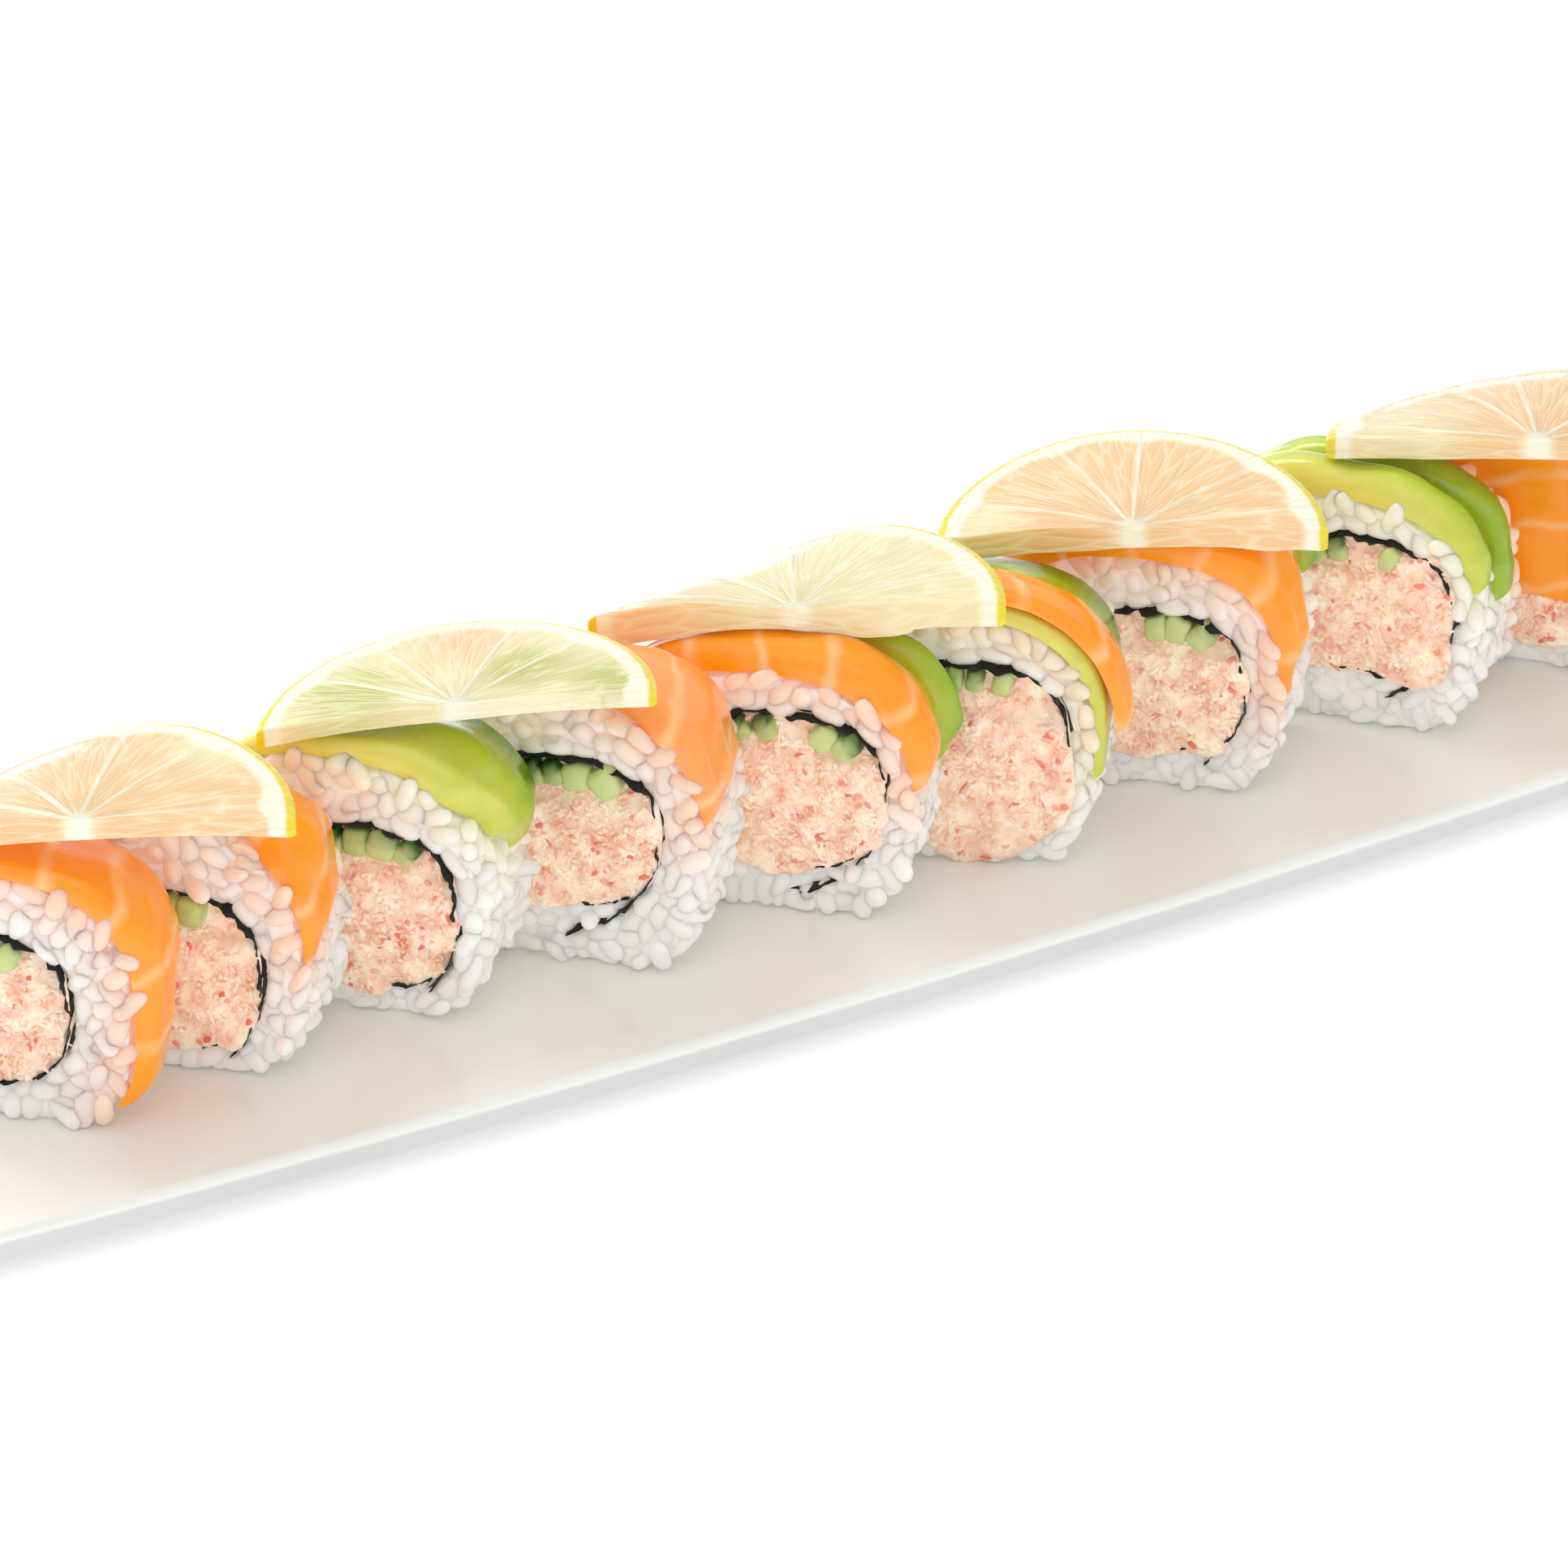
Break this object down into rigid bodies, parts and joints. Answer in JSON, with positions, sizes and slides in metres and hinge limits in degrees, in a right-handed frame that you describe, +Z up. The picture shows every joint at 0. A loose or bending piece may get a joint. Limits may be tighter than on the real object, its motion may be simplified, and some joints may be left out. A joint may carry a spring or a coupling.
{
  "type": "salmon avocado roll on a plate",
  "caption": "Rice-outside roll cut into slices in a row on a long white plate, filled with crab salad, cucumber and nori, topped with salmon, avocado and half lemon slices.",
  "frame": {"origin": "on the ground below the middle of the plate", "axes": "+X along the plate towards the right end of the row, +Y away from the front edge, +Z up"},
  "size_m": [0.36, 0.08, 0.0577],
  "materials": {
    "porcelain": "glazed, glossy",
    "rice": "moist, translucent",
    "nori": "satin",
    "crab_salad": "moist",
    "cucumber": "wet",
    "salmon": "wet",
    "avocado": "smooth, moist",
    "lemon": "wet, translucent"
  },
  "bodies": {
    "root": {"plate": "porcelain", "rice_1": "rice", "rice_2": "rice", "rice_3": "rice", "rice_4": "rice", "rice_5": "rice", "rice_6": "rice", "rice_7": "rice", "rice_8": "rice", "rice_9": "rice", "nori_1": "nori", "nori_2": "nori", "nori_3": "nori", "nori_4": "nori", "nori_5": "nori", "nori_6": "nori", "nori_7": "nori", "nori_8": "nori", "nori_9": "nori", "crab_salad_1": "crab_salad", "crab_salad_2": "crab_salad", "crab_salad_3": "crab_salad", "crab_salad_4": "crab_salad", "crab_salad_5": "crab_salad", "crab_salad_6": "crab_salad", "crab_salad_7": "crab_salad", "crab_salad_8": "crab_salad", "crab_salad_9": "crab_salad", "cucumber_1": "cucumber", "cucumber_2": "cucumber", "cucumber_3": "cucumber", "cucumber_4": "cucumber", "cucumber_5": "cucumber", "cucumber_6": "cucumber", "cucumber_7": "cucumber", "cucumber_8": "cucumber", "cucumber_9": "cucumber", "salmon_1": "salmon", "salmon_2": "salmon", "salmon_4": "salmon", "salmon_5": "salmon", "salmon_6": "salmon", "salmon_7": "salmon", "salmon_9": "salmon", "lemon_1": "lemon", "lemon_2": "lemon", "lemon_3": "lemon", "lemon_4": "lemon", "lemon_5": "lemon", "avocado_3": "avocado", "avocado_5": "avocado", "avocado_6": "avocado", "avocado_7": "avocado", "avocado_8_front": "avocado", "avocado_8_back": "avocado"}
  },
  "joints": []
}
